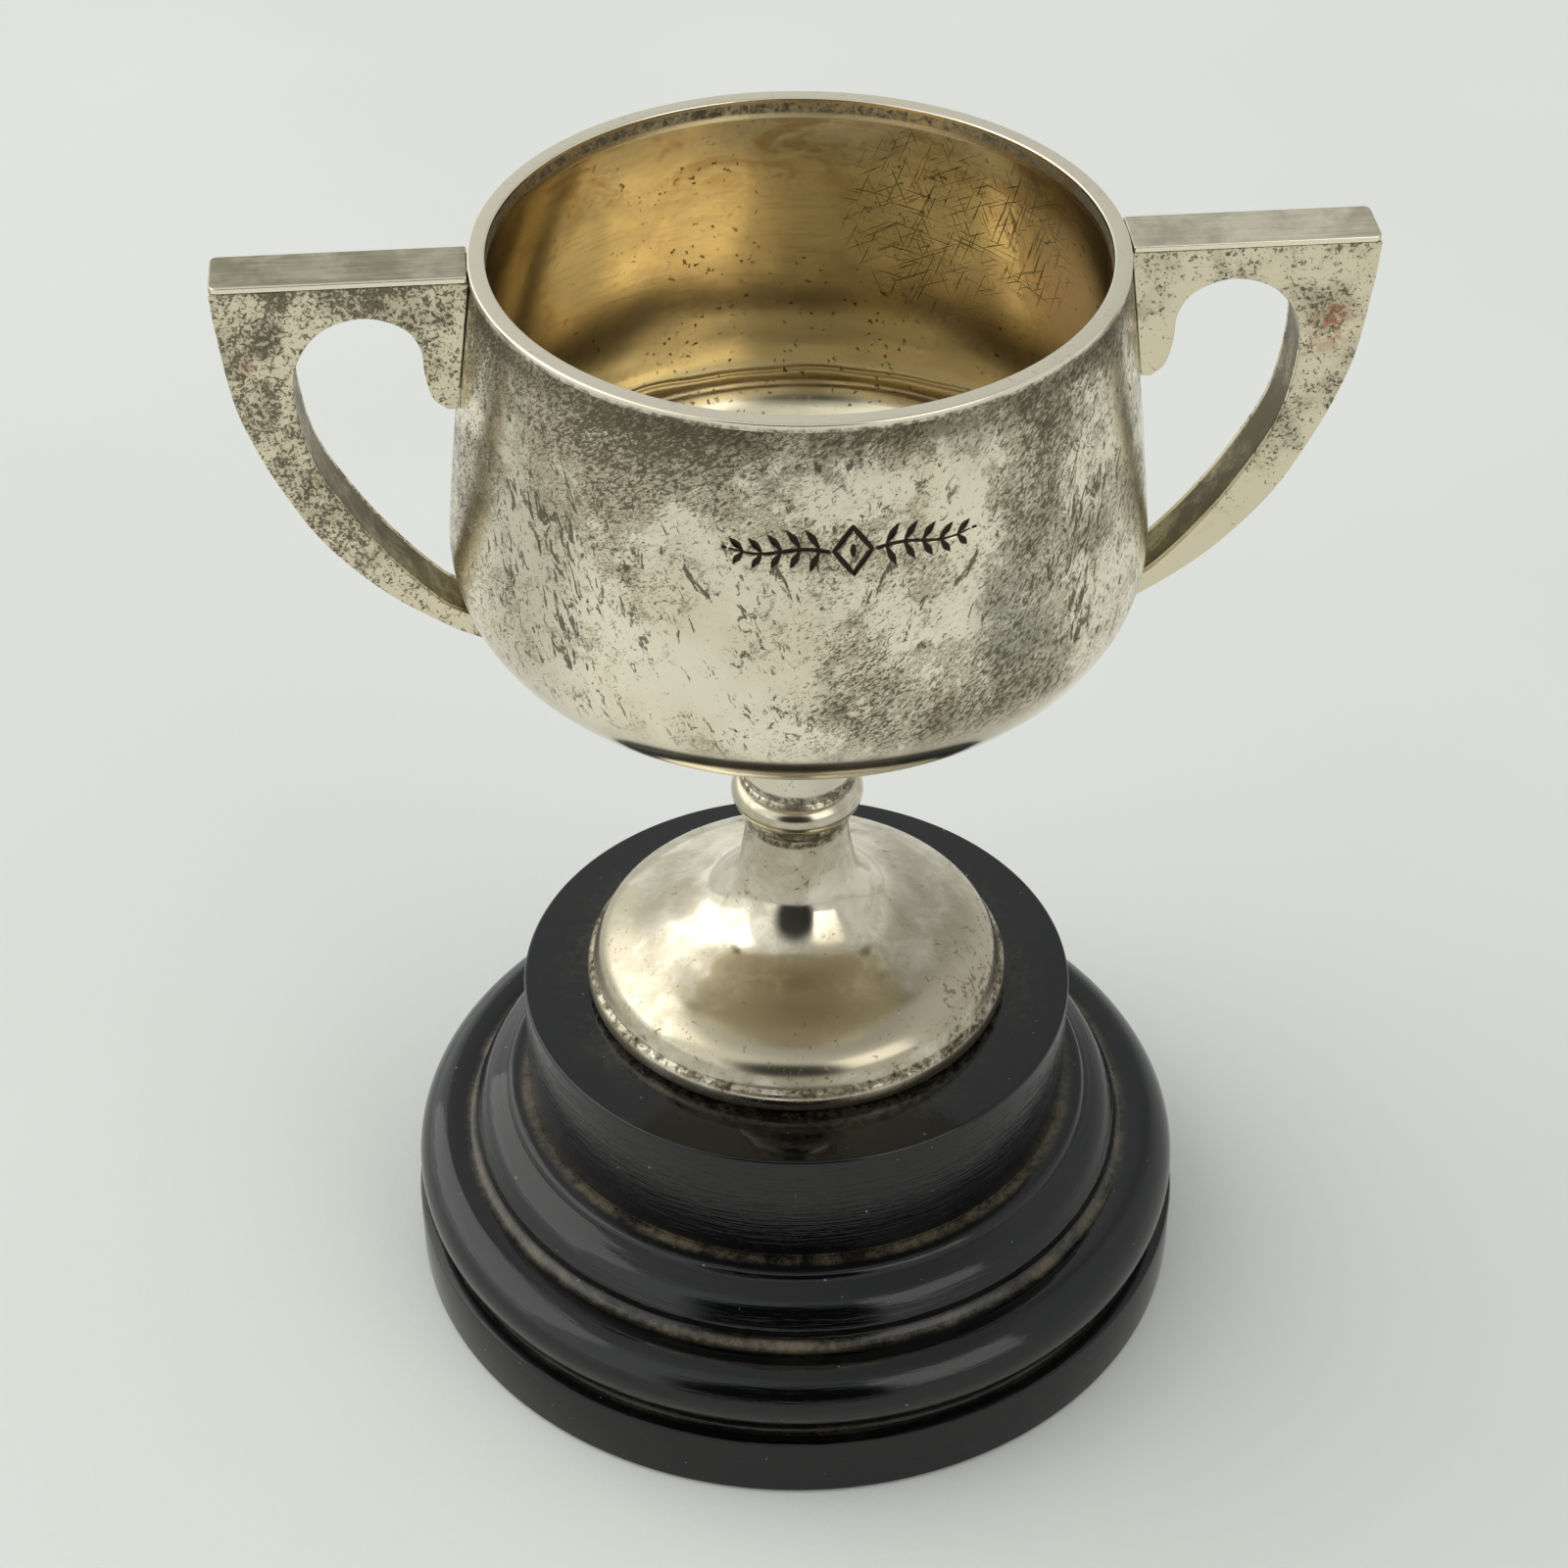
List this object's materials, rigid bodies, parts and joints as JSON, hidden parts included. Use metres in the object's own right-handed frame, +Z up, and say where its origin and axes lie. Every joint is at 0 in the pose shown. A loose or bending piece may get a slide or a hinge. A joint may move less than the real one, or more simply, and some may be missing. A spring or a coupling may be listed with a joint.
{
  "type": "cup trophy",
  "caption": "Two-handled silver cup trophy on a turned, ebonised plinth, held by a stud and nut from below.",
  "frame": {"origin": "middle of the plinth's underside, on the surface the trophy stands on", "axes": "+Z up along the cup's axis, the two handles along X, the engraved front facing -Y"},
  "size_m": [0.1288, 0.1016, 0.1495],
  "materials": {
    "tarnished_silver": "old silver, polished but clouded with warm grey-brown tarnish",
    "polished_silver": "bright handled silver with light tarnish and fine scratches",
    "mottled_silver": "silver with dense dark speckled tarnish on the flat faces and bright worn edges",
    "gilt_silver": "worn gilding, gold-brown, scratched",
    "brass": "plain dull brass",
    "steel": "plain zinc-coated steel",
    "ebonised_wood": "glossy black lacquer on turned wood, dusty in the hollows",
    "baize": "thin green wool baize, glued on"
  },
  "bodies": {
    "plinth": {"plinth_base": "ebonised_wood", "plinth_drum": "ebonised_wood", "baize_disc": "baize"},
    "cup": {"foot": "polished_silver", "foot_rim": "polished_silver", "neck_ring": "polished_silver", "knop": "polished_silver", "stem_tube": "polished_silver", "bowl_bottom": "gilt_silver", "bowl_wall": "tarnished_silver", "rim_wire": "polished_silver", "right_handle_front_plate": "mottled_silver", "right_handle_back_plate": "mottled_silver", "right_handle_top_strip": "mottled_silver", "right_handle_outer_strip": "mottled_silver", "right_handle_inner_strip": "mottled_silver", "left_handle_front_plate": "mottled_silver", "left_handle_back_plate": "mottled_silver", "left_handle_top_strip": "mottled_silver", "left_handle_outer_strip": "mottled_silver", "left_handle_inner_strip": "mottled_silver", "foot_bridge": "brass", "fixing_stud": "brass"},
    "washer": {"washer": "steel"},
    "nut": {"nut": "steel"}
  },
  "joints": [
    {"name": "cup_lift", "type": "slide", "parent": "plinth", "child": "cup", "axis": [0, 0, 1], "range_m": [0, 0.05]},
    {"name": "nut_travel", "type": "slide", "parent": "plinth", "child": "washer", "axis": [0, 0, -1], "range_m": [0, 0.0056]},
    {"name": "nut_turn", "type": "hinge", "parent": "washer", "child": "nut", "pos_m": [0, 0, 0.0092], "axis": [0, 0, -1], "range_deg": [0, 2520]}
  ],
  "couplings": [
    {"joint": "nut_turn", "follows": "nut_travel", "rad_per_m": 7854}
  ]
}
